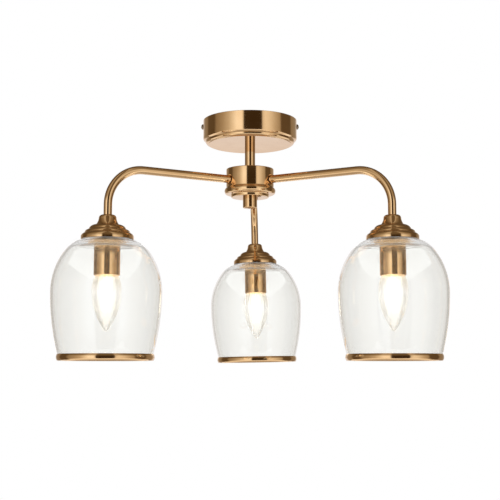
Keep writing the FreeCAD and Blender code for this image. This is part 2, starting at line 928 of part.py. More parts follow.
def bar_between(start, end, radius):
    step = end - start
    return Part.makeCylinder(radius, step.Length, start, step)


def filament():
    """Slim glowing sticks round a wire mast, joined to it by a spider at each end."""
    mast = rod(wire_radius, filament_low - mast_beyond, lamp_neck - lamp_stem_length)
    axis_top = FreeCAD.Vector(0, 0, filament_top - spider_drop)
    axis_low = FreeCAD.Vector(0, 0, filament_low - spider_drop)
    solids = []
    for k in range(filament_count):
        angle = 2 * math.pi * (k + 0.5) / filament_count
        aim = FreeCAD.Vector(math.cos(angle), math.sin(angle), 0)
        top = aim * filament_circle + up * filament_top
        low = aim * filament_low_circle + up * filament_low
        solids.append(bar_between(top, low, filament_radius))
        solids.append(bar_between(axis_low, low, wire_radius))
        solids.append(bar_between(axis_top, top, wire_radius))
    return mast.fuse(solids)


pieces = {
    "ceiling_rose": ceiling_rose(),
    "mounting_strap": mounting_strap(),
    "rose_screws": rose_screws(),
    "terminal_block": terminal_block(),
    "terminal_barrels": terminal_barrels(),
    "terminal_screws": terminal_screws(),
    "block_screw": block_screw(),
    "earth_screw": earth_screw(),
    "stem_tube": stem_tube(),
    "stem_rod": stem_rod(),
    "hub_body": hub_body(),
    "hub_base": hub_base(),
    "hub_finial": hub_finial(),
    "lock_nuts": lock_nuts(),
    "shakeproof_washers": shakeproof_washers(),
}

shade_pieces = {
    "neck_collar": neck_collar(),
    "shade_cap": shade_cap(),
    "shade_gasket": shade_gasket(),
    "glass_shade": glass_shade(),
    "rim_ring": rim_ring(),
    "holder_dome": holder_dome(),
    "holder_body": holder_body(),
    "contact_shell": contact_shell(),
    "centre_contact": centre_contact(),
    "holder_sleeve": holder_sleeve(),
    "bulb_contact": bulb_contact(),
    "bulb_cap": bulb_cap(),
    "bulb_glass": bulb_glass(),
    "filament": filament(),
}

for arm, (heading, lean) in arms.items():
    pieces[arm + "_arm_tube"] = hung(arm_tube(), heading, lean)
    for name, shape in shade_pieces.items():
        solids = shape if isinstance(shape, list) else [shape]
        moved = [hung(solid.translated(outward * arm_reach), heading, lean) for solid in solids]
        pieces[arm + "_" + name] = moved

os.makedirs("parts", exist_ok=True)
for name, shape in pieces.items():
    body = Part.makeCompound(shape) if isinstance(shape, list) else shape
    body.exportStep("parts/" + name + ".step")
    if not body.isValid() or body.Volume <= 0:
        print("check", name)
print(len(pieces), "pieces")
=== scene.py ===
import math

import bpy
from mathutils import Matrix, Vector


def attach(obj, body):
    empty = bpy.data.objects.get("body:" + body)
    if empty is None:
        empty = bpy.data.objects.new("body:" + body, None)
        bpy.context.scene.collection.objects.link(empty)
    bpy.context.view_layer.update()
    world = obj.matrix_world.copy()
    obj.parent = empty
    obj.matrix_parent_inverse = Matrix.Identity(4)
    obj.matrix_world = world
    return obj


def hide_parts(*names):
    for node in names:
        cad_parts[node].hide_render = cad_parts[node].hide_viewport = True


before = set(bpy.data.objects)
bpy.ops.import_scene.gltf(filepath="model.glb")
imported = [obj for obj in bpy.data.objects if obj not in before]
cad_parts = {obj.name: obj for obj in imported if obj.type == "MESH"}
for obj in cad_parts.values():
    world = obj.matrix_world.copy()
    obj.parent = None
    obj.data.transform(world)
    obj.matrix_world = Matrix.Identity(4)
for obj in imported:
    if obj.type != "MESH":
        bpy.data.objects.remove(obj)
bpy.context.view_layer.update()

# A three-light semi flush ceiling light in lacquered antique brass with clear bell shades.
# Sizes are in millimetres, with heights below zero because the ceiling is at zero. They are
# turned to metres where a mesh is made.
MM = 0.001

# Each arm's heading round the stem, and how far it has turned in its hole, in degrees.
ARMS = {"left": (210.0, 0.0), "right": (330.0, 0.0), "back": (88.2, -1.0)}
ARM_START = 12.0
ARM_REACH = 193.6
ARM_DROP = 78.3
ARM_BEND = 45.0
ARM_LOW = -158.6
TUBE_RADIUS = 5.0
TUBE_WALL = 1.0

# The hole that the threaded rod passes through in the rose and the hub.
ROD_HOLE = TUBE_RADIUS + 0.4

ROSE_RADIUS = 60.0
ROSE_DEPTH = 31.0
ROSE_WALL = 1.0
STEM_RADIUS = 6.6
STEM_WALL = 0.8

HUB_RADIUS = 30.4
HUB_TOP = -63.1
HUB_LOW = -88.3
HUB_WALL = 3.0
HUB_LID = 2.5
COVE_TOP = -86.2
FLANGE_RADIUS = 32.6
TIER_RADIUS = 24.1
BASE_LOW = -99.5
FINIAL_RADIUS = 9.1
FINIAL_LOW = -113.0

COLLAR_TOP = -136.0
COLLAR_LOW = -148.0
CAP_NECK = 15.1
CAP_RADIUS = 31.15
CAP_BORE = 30.0
CAP_WALL = 1.2
CAP_LOW = -165.3

GLASS_TOP = -165.5
GLASS_CEILING = -171.5
GLASS_LOW = -306.0
GLASS_RIM = 53.5
GLASS_BELLY = 64.97
BELLY_DROP = 61.5
GLASS_SHOULDER = 48.0
SHOULDER_DROP = 11.9
GLASS_WALL = 3.0
GLASS_HOLE = 14.7

RING_RADIUS = 56.7
RING_HEIGHT = 8.0
RING_WALL = 0.8
RING_FIT = 0.2
RING_LOW = -307.0

SLEEVE_RADIUS = 15.5
SLEEVE_BORE = 14.6
SLEEVE_LOW = -207.6
THREAD_RADIUS = 14.05
THREAD_HEIGHT = 14.0

LAMP_TOP = -175.2
LAMP_RADIUS = 17.5
LAMP_WALL = 0.8
LAMP_TIP = -272.2
SKIRT_TOP = -193.1
SKIRT_LOW = -198.1

# The floor and the camera's place are in metres. The place is where the photograph was taken
# from, and the tilt is in degrees up from straight down.
FLOOR_SIDE = 7.0
FLOOR_HEIGHT = -2.2
CAMERA_PLACE = (0.0, -1.31224, -0.31594)
CAMERA_TILT = 96.494
LENS = 75.0
SENSOR = 36.0


# Drawing and spinning

def traced(start, *runs, turn=6.0):
    """Points along a half outline of (radius, height). A run is the end of a straight line,
    or the middle and the end of an arc, which is cut into steps of at most turn degrees."""
    points = [start]
    for run in runs:
        if not isinstance(run[0], tuple):
            points.append(run)
            continue
        here, middle, end = [Vector(point) for point in (points[-1],) + run]
        u = middle - here
        v = end - here
        cross = 2 * (u.x * v.y - u.y * v.x)
        centre = here + Vector((v.y * u.length_squared - u.y * v.length_squared,
                                u.x * v.length_squared - v.x * u.length_squared)) / cross
        radius = (here - centre).length
        angles = [math.atan2(point.y - centre.y, point.x - centre.x)
                  for point in (here, middle, end)]
        sweep = sum((b - a + math.pi) % (2 * math.pi) - math.pi
                    for a, b in zip(angles, angles[1:]))
        count = max(2, math.ceil(abs(math.degrees(sweep)) / turn))
        for k in range(1, count + 1):
            angle = angles[0] + sweep * k / count
            points.append((centre.x + radius * math.cos(angle),
                           centre.y + radius * math.sin(angle)))
    return points


def arc_between(start, heading, end):
    """The arc that leaves start at this heading and meets end: its middle, and the heading
    at its end."""
    across = end[0] - start[0]
    rise = end[1] - start[1]
    chord = math.hypot(across, rise)
    turn = 2 * (math.atan2(rise, across) - heading)
    bow = chord / 2 * math.tan(turn / 4)
    middle = ((start[0] + end[0]) / 2 + bow * rise / chord,
              (start[1] + end[1]) / 2 - bow * across / chord)
    return middle, heading + turn


def shifted(runs, across, rise):
    """The same runs moved across and up."""
    def move(run):
        if isinstance(run[0], tuple):
            return tuple(move(part) for part in run)
        return (run[0] + across, run[1] + rise)
    return [move(run) for run in runs]


def pick(piece):
    """Selects this piece alone."""
    bpy.ops.object.select_all(action="DESELECT")
    piece.select_set(True)
    bpy.context.view_layer.objects.active = piece


def first_point(name, place):
    """A plane merged to one vertex, left in edit mode to be drawn out."""
    bpy.ops.object.select_all(action="DESELECT")
    bpy.ops.mesh.primitive_plane_add(size=MM, location=Vector(place) * MM)
    piece = bpy.context.object
    piece.name = name
    bpy.ops.object.transform_apply(location=True, rotation=True, scale=True)
    bpy.ops.object.mode_set(mode="EDIT")
    bpy.ops.mesh.select_all(action="SELECT")
    bpy.ops.mesh.merge(type="CENTER")
    return piece


def drawn(name, points, across):
    """The half outline as a chain of edges, in the plane y = 0."""
    places = [Vector((across + radius, 0.0, height)) for radius, height in points]
    piece = first_point(name, places[0])
    for here, there in zip(places, places[1:]):
        bpy.ops.mesh.extrude_region_move(TRANSFORM_OT_translate={"value": (there - here) * MM})
    return piece


def apply_modifier(piece, kind, **settings):
    """Adds this kind of modifier with its settings, and applies it."""
    pick(piece)
    modifier = piece.modifiers.new(kind.title(), kind)
    for key, value in settings.items():
        setattr(modifier, key, value)
    bpy.ops.object.modifier_apply(modifier=modifier.name)


def smooth(piece, angle=35.0):
    """Shades the piece smooth, but for edges sharper than angle."""
    pick(piece)
    bpy.ops.object.shade_smooth_by_angle(angle=math.radians(angle))


def closed_up():
    """Merges a spun or swept mesh's doubles, turns its faces outward and leaves edit mode."""
    bpy.ops.mesh.select_all(action="SELECT")
    bpy.ops.mesh.remove_doubles(threshold=1e-6)
    bpy.ops.mesh.normals_make_consistent(inside=False)
    bpy.ops.object.mode_set(mode="OBJECT")


def turned(name, points, across=0.0, steps=128, edge=0.0):
    """A piece turned on the lathe: its half outline spun round a vertical axis. Its sharp
    edges are broken by the width of edge."""
    piece = drawn(name, points, across)
    bpy.ops.mesh.select_all(action="SELECT")
    bpy.ops.mesh.spin(steps=steps, angle=2 * math.pi, center=(across * MM, 0, 0), axis=(0, 0, 1))
    closed_up()
    if edge:
        apply_modifier(piece, "BEVEL", width=edge * MM, segments=2, limit_method="ANGLE",
                       angle_limit=math.radians(38), use_clamp_overlap=True)
    smooth(piece)
    return piece


# Colours and nodes

def linear(code):
    """An sRGB hex colour as linear light."""
    channels = [int(code[k:k + 2], 16) / 255 for k in (0, 2, 4)]
    return tuple(c / 12.92 if c <= 0.04045 else ((c + 0.055) / 1.055) ** 2.4
                 for c in channels) + (1.0,)


def grey(value):
    return (value, value, value, 1.0)


def warm(level):
    """Studio light of this level: white where it is bright and brown where it is dim."""
    return (level, level ** 1.15, level ** 1.4, 1.0)


def add(tree, kind, links=None, **settings):
    """Adds a node. links gives its sockets a value or another node's output."""
    node = tree.nodes.new(kind)
    for key, value in settings.items():
        setattr(node, key, value)
    for socket, value in (links or {}).items():
        if isinstance(value, bpy.types.NodeSocket):
            tree.links.new(value, node.inputs[socket])
        else:
            node.inputs[socket].default_value = value
    return node


def stops(ramp, *marks):
    """Sets a colour ramp's stops from (position, colour) pairs."""
    elements = ramp.color_ramp.elements
    while len(elements) < len(marks):
        elements.new(0.5)
    for element, (position, colour) in zip(elements, sorted(marks, key=lambda mark: mark[0])):
        element.position = position
        element.color = colour
    return ramp


def new_material(name):
    """An empty material: the material, its node tree and its output."""
    material = bpy.data.materials.new(name)
    material.use_nodes = True
    tree = material.node_tree
    tree.nodes.clear()
    return material, tree, add(tree, "ShaderNodeOutputMaterial")


# Materials

def lacquered_brass(name, light, dark, line_mm, stretch, haze, depth_mm):
    """Antique brass, polished in fine lines and lacquered: warm bright metal that mirrors
    the lights in crisp bands, with a faint haze from its lines and a slow drift of tone."""
    cloud_mm = 22.22
    material, tree, out = new_material(name)
    place = add(tree, "ShaderNodeTexCoord").outputs["Object"]
    across = add(tree, "ShaderNodeMapping", {"Vector": place, "Scale": stretch}).outputs[0]
    lines = add(tree, "ShaderNodeTexNoise", {
        "Vector": across, "Scale": 1 / (line_mm * MM), "Detail": 2.0,
        "Roughness": 0.6}).outputs["Fac"]
    cloud = add(tree, "ShaderNodeTexNoise", {
        "Vector": place, "Scale": 1 / (cloud_mm * MM), "Detail": 3.0}).outputs["Fac"]
    tone = stops(add(tree, "ShaderNodeValToRGB", {"Fac": cloud}),
                 (0.35, linear(dark)), (0.65, linear(light))).outputs["Color"]
    gloss = add(tree, "ShaderNodeMapRange", {
        "Value": lines, "From Min": 0.3, "From Max": 0.7, "To Min": haze[0],
        "To Max": haze[1]}).outputs["Result"]
    bump = add(tree, "ShaderNodeBump", {
        "Height": lines, "Strength": 0.1, "Distance": depth_mm * MM}).outputs["Normal"]
    metal = add(tree, "ShaderNodeBsdfPrincipled", {
        "Base Color": tone, "Metallic": 1.0, "Roughness": gloss, "Normal": bump,
        "Coat Weight": 0.5, "Coat Roughness": 0.05, "Coat IOR": 1.5})
    tree.links.new(metal.outputs[0], out.inputs["Surface"])
    return material


def clear_glass(name, tint, painted_streak, wave_mm):
    """Blown soda glass: colourless, with the slight waves that blowing leaves. Its thick pressed
    top is satin and rippled, with grey streaks of painted reflection in its tint."""
    ripple_mm = 5.0
    painted_streak_mm = 14.0
    depth_mm = 0.4
    satin_roughness = 0.3
    material, tree, out = new_material(name)
    place = add(tree, "ShaderNodeTexCoord").outputs["Object"]
    height = add(tree, "ShaderNodeSeparateXYZ", {"Vector": place}).outputs["Z"]
    wave = add(tree, "ShaderNodeTexNoise", {
        "Vector": place, "Scale": 1 / (wave_mm * MM), "Detail": 1.0}).outputs["Fac"]
    ripple = add(tree, "ShaderNodeTexNoise", {
        "Vector": place, "Scale": 1 / (ripple_mm * MM), "Detail": 1.0}).outputs["Fac"]
    rippled = add(tree, "ShaderNodeMapRange", {
        "Value": height, "From Min": (GLASS_CEILING - 4) * MM, "From Max": GLASS_CEILING * MM,
        "To Min": 0.015, "To Max": 1.0}).outputs["Result"]
    near_top = add(tree, "ShaderNodeMath", {0: ripple, 1: rippled}, operation="MULTIPLY").outputs[0]
    surface = add(tree, "ShaderNodeMath", {0: wave, 1: 0.3, 2: near_top},
                  operation="MULTIPLY_ADD").outputs[0]
    bump = add(tree, "ShaderNodeBump", {
        "Height": surface, "Strength": 0.5, "Distance": depth_mm * MM}).outputs["Normal"]
    thick = add(tree, "ShaderNodeMapRange", {
        "Value": height, "From Min": (GLASS_CEILING + 1) * MM,
        "From Max": (GLASS_CEILING + 2) * MM}).outputs["Result"]
    satin = add(tree, "ShaderNodeMath", {0: thick, 1: satin_roughness},
                operation="MULTIPLY").outputs[0]
    # The grey streaks in the thick top's tint are painted reflection of the surroundings.
    flat = add(tree, "ShaderNodeMapping", {"Vector": place, "Scale": (1.0, 1.0, 6.0)}).outputs[0]
    painted_streak_noise = add(tree, "ShaderNodeTexNoise", {
        "Vector": flat, "Scale": 1 / (painted_streak_mm * MM), "Detail": 2.0}).outputs["Fac"]
    painted_reflection_streaks = stops(add(tree, "ShaderNodeValToRGB", {"Fac": painted_streak_noise}),
                    (0.45, linear(painted_streak)), (0.6, linear(tint))).outputs["Color"]
    tone = add(tree, "ShaderNodeMix", {0: thick, 6: linear(tint), 7: painted_reflection_streaks},
               data_type="RGBA").outputs[2]
    glass = add(tree, "ShaderNodeBsdfPrincipled", {
        "Base Color": tone, "Roughness": satin, "IOR": 1.5, "Transmission Weight": 1.0,
        "Normal": bump})
    # Light goes straight through to what the glass shades, for a pale shadow. It also does
    # after two reflections, so that the thick top stays clear.
    passed = add(tree, "ShaderNodeBsdfTransparent", {"Color": grey(0.94)})
    path = add(tree, "ShaderNodeLightPath").outputs
    trapped = add(tree, "ShaderNodeMath", {0: path["Glossy Depth"], 1: 1.5},
                  operation="GREATER_THAN").outputs[0]
    freed = add(tree, "ShaderNodeMath", {0: path["Is Shadow Ray"], 1: trapped},
                operation="MAXIMUM").outputs[0]
    mixed = add(tree, "ShaderNodeMixShader", {
        0: freed, 1: glass.outputs[0], 2: passed.outputs[0]})
    tree.links.new(mixed.outputs[0], out.inputs["Surface"])
    return material


def lit_lamp_glass(name):
    """The lamp's thin blown envelope: amber at the sleeve, full of white light round the
    filament and clear at its tip."""
    material, tree, out = new_material(name)
    place = add(tree, "ShaderNodeTexCoord").outputs["Object"]
    height = add(tree, "ShaderNodeSeparateXYZ", {"Vector": place}).outputs["Z"]
    down = add(tree, "ShaderNodeMapRange", {
        "Value": height, "From Min": SLEEVE_LOW * MM,
        "From Max": LAMP_TIP * MM}).outputs["Result"]
    warmth = stops(add(tree, "ShaderNodeValToRGB", {"Fac": down}),
                   (0.0, linear("ffd27a")), (0.12, linear("ffe9b8")), (0.3, linear("fffaf0")),
                   (0.6, linear("fff6e0"))).outputs["Color"]
    glow = stops(add(tree, "ShaderNodeValToRGB", {"Fac": down}),
                 (0.0, grey(0.3)), (0.1, grey(0.15)), (0.3, grey(0.22)), (0.55, grey(0.2)),
                 (0.75, grey(0.11)), (0.95, grey(0.06))).outputs["Color"]
    glass = add(tree, "ShaderNodeBsdfPrincipled", {
        "Base Color": grey(1.0), "Roughness": 0.0, "IOR": 1.5, "Transmission Weight": 1.0,
        "Emission Color": warmth, "Emission Strength": glow})
    # Over half of the light goes straight through, which keeps the thin wall's outline faint.
    passed = add(tree, "ShaderNodeBsdfTransparent", {"Color": grey(0.97)})
    shadow = add(tree, "ShaderNodeLightPath").outputs["Is Shadow Ray"]
    thin = add(tree, "ShaderNodeMapRange", {"Value": shadow, "To Min": 0.6}).outputs["Result"]
    mixed = add(tree, "ShaderNodeMixShader", {
        0: thin, 1: glass.outputs[0], 2: passed.outputs[0]})
    tree.links.new(mixed.outputs[0], out.inputs["Surface"])
    return material


def glowing_filament(name, grain_mm):
    """The lit filament: yellow white, and a little uneven along its strips."""
    material, tree, out = new_material(name)
    place = add(tree, "ShaderNodeTexCoord").outputs["Object"]
    grain = add(tree, "ShaderNodeTexNoise", {
        "Vector": place, "Scale": 1 / (grain_mm * MM)}).outputs["Fac"]
    warmth = stops(add(tree, "ShaderNodeValToRGB", {"Fac": grain}),
                   (0.3, linear("ffe3ae")), (0.7, linear("fff3d8"))).outputs["Color"]
    light = add(tree, "ShaderNodeEmission", {"Color": warmth, "Strength": 3.0})
    tree.links.new(light.outputs[0], out.inputs["Surface"])
    return material


def plain_metal(name, light, dark, roughness, grain_mm):
    """A plated or rolled metal: satin, with a fine grain in its tone and its gloss."""
    spread = 0.08
    depth_mm = 0.01
    material, tree, out = new_material(name)
    place = add(tree, "ShaderNodeTexCoord").outputs["Object"]
    grain = add(tree, "ShaderNodeTexNoise", {
        "Vector": place, "Scale": 1 / (grain_mm * MM), "Detail": 4.0}).outputs["Fac"]
    tone = stops(add(tree, "ShaderNodeValToRGB", {"Fac": grain}),
                 (0.3, linear(dark)), (0.7, linear(light))).outputs["Color"]
    gloss = add(tree, "ShaderNodeMapRange", {
        "Value": grain, "To Min": roughness - spread,
        "To Max": roughness + spread}).outputs["Result"]
    bump = add(tree, "ShaderNodeBump", {
        "Height": grain, "Strength": 0.2, "Distance": depth_mm * MM}).outputs["Normal"]
    metal = add(tree, "ShaderNodeBsdfPrincipled", {
        "Base Color": tone, "Metallic": 1.0, "Roughness": gloss, "Normal": bump})
    tree.links.new(metal.outputs[0], out.inputs["Surface"])
    return material


def moulded_plastic(name, light, dark, roughness, grain_mm):
    """A moulding: an even colour, with the faint orange peel of its tool."""
    depth_mm = 0.03
    material, tree, out = new_material(name)
    place = add(tree, "ShaderNodeTexCoord").outputs["Object"]
    grain = add(tree, "ShaderNodeTexNoise", {
        "Vector": place, "Scale": 1 / (grain_mm * MM), "Detail": 3.0}).outputs["Fac"]
    tone = stops(add(tree, "ShaderNodeValToRGB", {"Fac": grain}),
                 (0.3, linear(dark)), (0.7, linear(light))).outputs["Color"]
    bump = add(tree, "ShaderNodeBump", {
        "Height": grain, "Strength": 0.2, "Distance": depth_mm * MM}).outputs["Normal"]
    plastic = add(tree, "ShaderNodeBsdfPrincipled", {
        "Base Color": tone, "Roughness": roughness, "IOR": 1.5, "Normal": bump})
    tree.links.new(plastic.outputs[0], out.inputs["Surface"])
    return material


# Turned brass carries fine rings, which soften its highlights up and down. Real ones are about
# 0.1 mm apart, and are drawn 0.7 mm apart so that a close view shows them.
TURNED_BRASS = lacquered_brass("antique_brass_turned", "edc592", "e6bb86", 0.7,
                               (0.02, 0.02, 1.0), (0.07, 0.12), 0.01)
# Drawn tube has no rings, only a soft unevenness 3 mm across, so it mirrors more sharply.
DRAWN_BRASS = lacquered_brass("antique_brass_drawn_tube", "edc592", "e6bb86", 3.0,
                              (1.0, 1.0, 1.0), (0.08, 0.1), 0.001)
# The grey 8a837f is painted reflection in the streaks of the shades' thick tops.
SHADE_GLASS = clear_glass("blown_clear_glass", "fdfdfb", "8a837f", 30.0)
LAMP_GLASS = lit_lamp_glass("lamp_glass_lit")
FILAMENT = glowing_filament("lamp_filament_lit", 1.5)

# The grain of a plated, rolled or moulded surface is finer than 0.1 mm, and is drawn 0.8 to
# 2 mm across so that a close view shows it.

# Zinc plate on stamped steel: cool pale grey with a soft cloudy sheen.
ZINC = plain_metal("zinc_plated_steel", "c9cdd0", "aeb3b8", 0.35, 1.5)
# The side screws: blackened and then polished back, a brownish grey beside the brass.
DARK_STEEL = plain_metal("blackened_steel", "c2b09a", "95826c", 0.34, 0.8)
# Bare rolled sheet brass: yellower and paler than the lacquered outside.
CONTACT_BRASS = plain_metal("bright_rolled_brass", "e9cf95", "d8b877", 0.25, 1.0)
# Nickel plate on the lamp's screw cap: warm silver with tight highlights.
LAMP_CAP_METAL = plain_metal("nickel_plated_cap", "d8d4cb", "bdb8ae", 0.22, 1.0)
# The lamp's end contact: dull grey solder.
SOLDER = plain_metal("solder_button", "b9bcbe", "8f9294", 0.4, 0.8)
# Injection moulded nylon: milky and softly shiny.
WHITE_NYLON = moulded_plastic("white_nylon", "f1efe9", "e6e3da", 0.45, 2.0)
# Compression moulded thermoset: white and glossier, like china.
HOLDER_PLASTIC = moulded_plastic("white_thermoset", "ecebe7", "dfddd7", 0.35, 2.0)
# Moulded silicone rubber: pale cool grey with a soft sheen.
CLEAR_SILICONE = moulded_plastic("clear_silicone", "c4c8ca", "b4b8ba", 0.3, 2.0)


# Finishing a piece

def finished(piece, node, material, body="root"):
    """Gives a piece its finish, and says what it rides on and which node it replaces."""
    piece.data.materials.clear()
    piece.data.materials.append(material)
    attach(piece, body)
    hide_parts(node)


def hung(piece, node, material, body="root"):
    """Copies a piece drawn along +X to each arm, and puts each copy's place in its mesh."""
    for arm, (heading, lean) in ARMS.items():
        pick(piece)
        bpy.ops.object.duplicate(linked=False)
        copy = bpy.context.object
        copy.name = arm + "_" + node + "_finished"
        level = Matrix.Translation((0, 0, -ARM_DROP * MM))
        leaned = level @ Matrix.Rotation(math.radians(lean), 4, "X") @ level.inverted()
        copy.matrix_world = Matrix.Rotation(math.radians(heading), 4, "Z") @ leaned
        bpy.ops.object.transform_apply(location=True, rotation=True, scale=True)
        finished(copy, arm + "_" + node, material, body.format(arm=arm))
    bpy.data.objects.remove(piece)


# The rose, the stem and the hub. Bare numbers in an outline are steps in from the named radius
# and up or down from the named height.

def rose_runs():
    """Down the wall, over the two rounded steps and in to the flat underside."""
    wall = ROSE_RADIUS
    low = -ROSE_DEPTH
    return [
        (wall, low + 8.4),
        ((wall - 0.8, low + 6.1), (wall - 2.6, low + 4.7)),
        (wall - 3.0, low + 4.5),
        (wall - 3.1, low + 3.7),
        ((wall - 4.1, low + 1.6), (wall - 6.3, low + 0.7)),
        (wall - 6.8, low + 0.5),
        ((wall - 7.1, low + 0.15), (wall - 7.7, low)),
        (ROD_HOLE, low),
    ]


def ceiling_rose():
    """A spun cup with an even wall and a rolled edge against the ceiling."""
    roll = 0.3
    edge = [(ROSE_RADIUS - roll, 0.0)]
    outer = traced((ROSE_RADIUS, -roll), *rose_runs())
    inner = traced((ROSE_RADIUS - ROSE_WALL, 0.0),
                   *shifted(rose_runs(), -ROSE_WALL, ROSE_WALL)[:-1])
    inner.append((ROD_HOLE, ROSE_WALL - ROSE_DEPTH))
    return turned("ceiling_rose_finished", edge + outer + inner[::-1] + edge, steps=192)


def stem():
    """The drawn tube between the rose and the hub."""
    bore = STEM_RADIUS - STEM_WALL
    return turned("stem_finished", [
        (bore, -ROSE_DEPTH), (STEM_RADIUS, -ROSE_DEPTH), (STEM_RADIUS, HUB_TOP),
        (bore, HUB_TOP), (bore, -ROSE_DEPTH)], steps=64)


def hub_drum():
    """The drum that the arms enter, with a room for the wires and a rounded top edge."""
    edge = 0.8
    bow = 0.234
    room = HUB_RADIUS - HUB_WALL
    under_lid = HUB_TOP - HUB_LID
    points = traced(
        (ROD_HOLE, HUB_TOP), (HUB_RADIUS - edge, HUB_TOP),
        ((HUB_RADIUS - bow, HUB_TOP - bow), (HUB_RADIUS, HUB_TOP - edge)),
        (HUB_RADIUS, COVE_TOP), (room, COVE_TOP), (room, under_lid),
        (ROD_HOLE, under_lid), (ROD_HOLE, HUB_TOP), turn=15)
    drum = turned("hub_body_finished", points, steps=160)
    for heading, _ in ARMS.values():
        sink_mouth(drum, heading)
    smooth(drum)
    return drum


def sink_mouth(drum, heading):
    """Sinks the mouth that an arm enters, a little wider than the arm."""
    gap = 1.5
    depth = 2.2
    length = 10.0
    bpy.ops.object.select_all(action="DESELECT")
    bpy.ops.mesh.primitive_cylinder_add(vertices=64, radius=(TUBE_RADIUS + gap) * MM,
                                        depth=length * MM)
    cutter = bpy.context.object
    way = Matrix.Rotation(math.radians(heading), 4, "Z")
    out = Matrix.Translation(Vector((HUB_RADIUS - depth + length / 2, 0, -ARM_DROP)) * MM)
    cutter.matrix_world = way @ out @ Matrix.Rotation(math.pi / 2, 4, "Y")
    bpy.ops.object.transform_apply(location=True, rotation=True, scale=True)
    apply_modifier(drum, "BOOLEAN", operation="DIFFERENCE", solver="EXACT", object=cutter)
    bpy.data.objects.remove(cutter)


def hub_foot():
    """The cove, the rounded flange and the lower tier under the drum."""
    core = 20.0
    seat = HUB_LOW - 4
    flange = FLANGE_RADIUS
    tier = TIER_RADIUS
    under = HUB_LOW - 7.2
    points = traced(
        (ROD_HOLE, seat), (core, seat), (core, COVE_TOP), (HUB_RADIUS, COVE_TOP),
        ((HUB_RADIUS + 0.5, COVE_TOP - 1.6), (flange - 0.6, COVE_TOP - 2.6)),
        ((flange, COVE_TOP - 4.6), (flange - 0.6, under + 1.9)),
        ((flange - 1.3, under + 0.7), (flange - 2.8, under + 0.1)),
        (tier + 1.6, under),
        ((tier + 0.4, under - 0.4), (tier, under - 1.2)),
        (tier, BASE_LOW + 1.0),
        ((tier - 0.3, BASE_LOW + 0.3), (tier - 1.0, BASE_LOW)),
        (ROD_HOLE, BASE_LOW), (ROD_HOLE, seat))
    return turned("hub_base_finished", points, steps=160)


def finial():
    """The round cap nut under the hub, with a rounded lower edge."""
    edge = 1.4
    bow = 0.41
    points = traced(
        (0.0, BASE_LOW), (FINIAL_RADIUS, BASE_LOW), (FINIAL_RADIUS, FINIAL_LOW + edge),
        ((FINIAL_RADIUS - bow, FINIAL_LOW + bow), (FINIAL_RADIUS - edge, FINIAL_LOW)),
        (0.0, FINIAL_LOW), turn=15)
    return turned("hub_finial_finished", points, steps=96)


# One arm and its shade, drawn along +X. Bare numbers in an outline are radii from the shade's
# axis, and steps up or down from the named height.

def arm_tube():
    """A level run, one round bend and a short drop, swept as a tube."""
    start = (ARM_START, 0.0, -ARM_DROP)
    bend_start = ARM_REACH - ARM_BEND
    bend_low = -ARM_DROP - ARM_BEND
    bpy.ops.object.select_all(action="DESELECT")
    bpy.ops.mesh.primitive_circle_add(vertices=48, radius=TUBE_RADIUS * MM, fill_type="NOTHING",
                                      location=Vector(start) * MM, rotation=(0, math.pi / 2, 0))
    piece = bpy.context.object
    piece.name = "arm_tube_drawn"
    bpy.ops.object.transform_apply(location=True, rotation=True, scale=True)
    bpy.ops.object.mode_set(mode="EDIT")
    bpy.ops.mesh.select_all(action="SELECT")
    bpy.ops.mesh.extrude_region_move(TRANSFORM_OT_translate={
        "value": ((bend_start - ARM_START) * MM, 0, 0)})
    bpy.ops.mesh.spin(steps=36, angle=-math.pi / 2, axis=(0, 1, 0),
                      center=(bend_start * MM, 0, bend_low * MM))
    bpy.ops.mesh.extrude_region_move(TRANSFORM_OT_translate={
        "value": (0, 0, (ARM_LOW - bend_low) * MM)})
    closed_up()
    apply_modifier(piece, "SOLIDIFY", thickness=TUBE_WALL * MM, offset=-1.0)
    smooth(piece, 40)
    return piece


def neck_collar():
    """A rounded shoulder and a hollow flare down to the cap."""
    shoulder = COLLAR_TOP - 3.2
    points = traced(
        (TUBE_RADIUS, COLLAR_TOP), (7.0, COLLAR_TOP),
        ((9.4, COLLAR_TOP - 1.2), (10.4, shoulder)),
        ((11.35, (shoulder + COLLAR_LOW) / 2), (14.1, COLLAR_LOW)),
        (TUBE_RADIUS, COLLAR_LOW), (TUBE_RADIUS, COLLAR_TOP))
    return turned("neck_collar_turned", points, ARM_REACH, steps=96)


def cap_runs():
    """Three rounded steps out to the straight rim band."""
    top = COLLAR_LOW
    band = CAP_LOW + 5.0
    return [
        ((20.0, top - 1.9), (22.3, top - 5.4)),
        (22.8, top - 5.9),
        ((25.7, top - 6.9), (26.9, top - 9.4)),
        (27.4, top - 9.9),
        ((29.9, band + 0.9), (31.1, band - 1.2)),
        (CAP_RADIUS, CAP_LOW),
    ]


def shade_cap():
    """A spun cap with an even wall, closed round the arm."""
    top = COLLAR_LOW
    outer = traced((CAP_NECK, top), *cap_runs())
    inner = traced((CAP_NECK - CAP_WALL, top - CAP_WALL),
                   *shifted(cap_runs(), -CAP_WALL, -CAP_WALL)[:-1])
    inner.append((CAP_BORE, CAP_LOW))
    loop = [(TUBE_RADIUS, top)] + outer + inner[::-1]
    loop += [(TUBE_RADIUS, top - CAP_WALL), (TUBE_RADIUS, top)]
    return turned("shade_cap_turned", loop, ARM_REACH)


